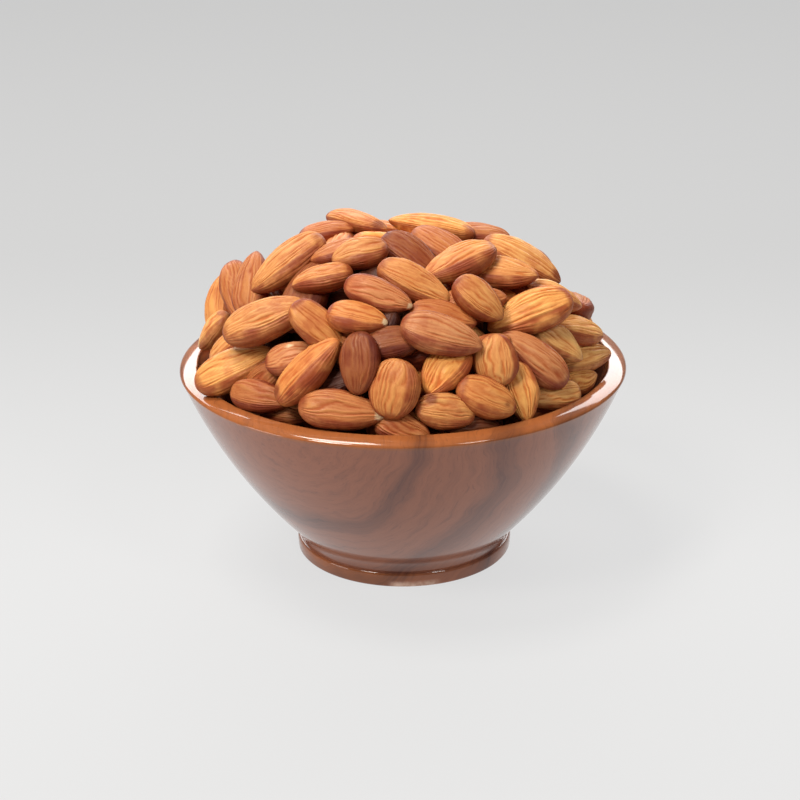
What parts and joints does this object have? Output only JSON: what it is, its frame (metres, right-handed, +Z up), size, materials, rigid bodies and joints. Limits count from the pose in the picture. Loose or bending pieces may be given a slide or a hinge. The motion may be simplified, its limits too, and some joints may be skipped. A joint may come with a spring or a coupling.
{
  "type": "bowl of almonds",
  "caption": "Round turned wooden bowl on a low foot, heaped above its rounded rim with whole brown-skinned almonds.",
  "frame": {"origin": "centre of the underside of the bowl's foot", "axes": "+Z up along the bowl's axis of turning; the picture's viewpoint is on the -Y side; +X to its right"},
  "size_m": [0.14, 0.14, 0.1087],
  "materials": {
    "wood": "clear gloss varnish",
    "almond_skin": "dry, ridged skin"
  },
  "bodies": {
    "root": {"bowl": "wood", "almonds": "almond_skin"}
  },
  "joints": []
}
